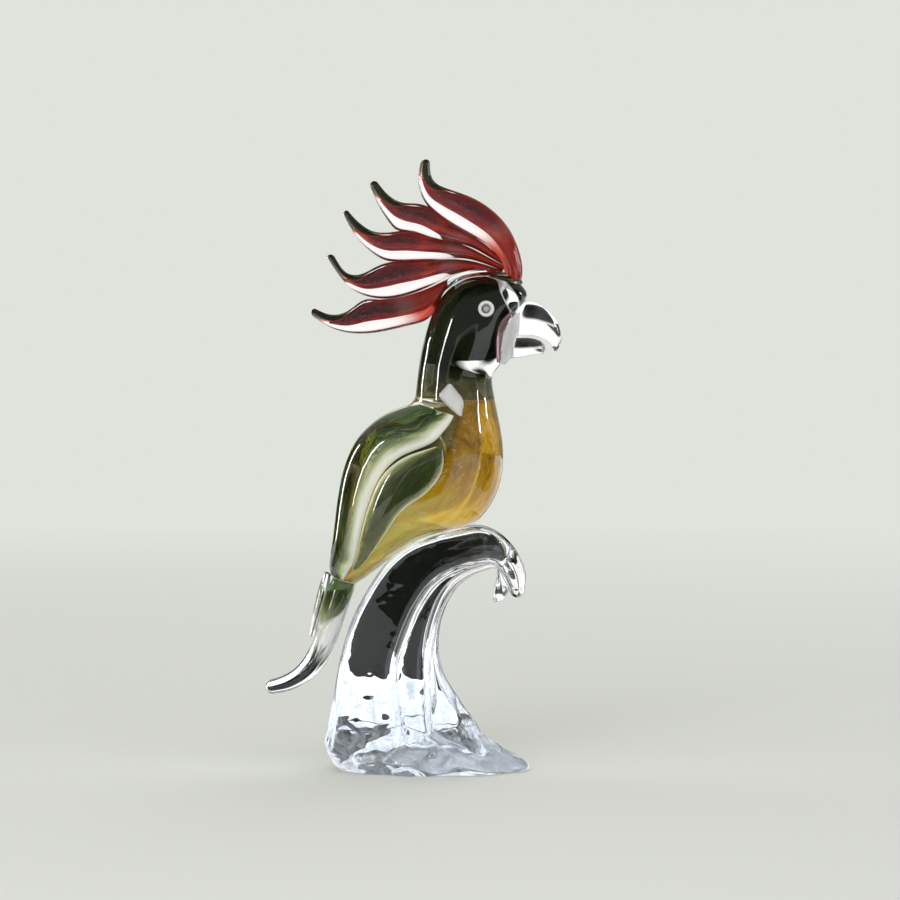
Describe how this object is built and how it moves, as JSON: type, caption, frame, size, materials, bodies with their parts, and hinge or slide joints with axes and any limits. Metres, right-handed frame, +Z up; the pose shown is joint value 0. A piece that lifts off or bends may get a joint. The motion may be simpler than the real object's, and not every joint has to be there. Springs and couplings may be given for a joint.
{
  "type": "glass bird figurine",
  "caption": "Hot-worked solid glass figure of a crested parrot with swept-back red crest feathers, amber breast and green wings, perched on a clear wave-shaped stand.",
  "frame": {"origin": "centre of the bounding box's footprint, on the plane the foot rests on", "axes": "+Z up, +X the way the bird faces, XZ plane is the plane of symmetry"},
  "size_m": [0.1458, 0.0618, 0.2999],
  "materials": {
    "clear_glass": "polished, clear, fine seeds",
    "casing_glass": "polished, clear",
    "amber_glass": "clear amber with pale streaks",
    "olive_glass": "dark olive, nearly opaque",
    "green_glass": "polished, deep green",
    "sage_glass": "polished, pale olive green",
    "feather_glass": "polished, clear over red",
    "red_glass": "clear red with streaks",
    "eye_glass": "white bead",
    "pupil_glass": "grey bead"
  },
  "bodies": {
    "root": {"perch_foot": "clear_glass", "perch_wave": "clear_glass", "perch_curl_drop": "clear_glass", "bird_casing": "casing_glass", "breast_core": "amber_glass", "neck_core": "olive_glass", "wing_covert_left": "green_glass", "wing_covert_right": "green_glass", "wing_flight_left": "sage_glass", "wing_flight_right": "sage_glass", "shoulder_tab_left": "clear_glass", "shoulder_tab_right": "clear_glass", "tail_feather_long": "clear_glass", "tail_feather_short": "clear_glass", "tail_feather_green_left": "sage_glass", "tail_feather_green_right": "sage_glass", "crest_root": "clear_glass", "crest_feather_1": "feather_glass", "crest_feather_2": "feather_glass", "crest_feather_3": "feather_glass", "crest_feather_4": "feather_glass", "crest_feather_5": "feather_glass", "crest_core_1": "red_glass", "crest_core_2": "red_glass", "crest_core_3": "red_glass", "crest_core_4": "red_glass", "crest_core_5": "red_glass", "face_pad": "clear_glass", "beak_upper": "clear_glass", "beak_lower": "clear_glass", "eye_left": "eye_glass", "eye_right": "eye_glass", "pupil_left": "pupil_glass", "pupil_right": "pupil_glass"}
  },
  "joints": []
}
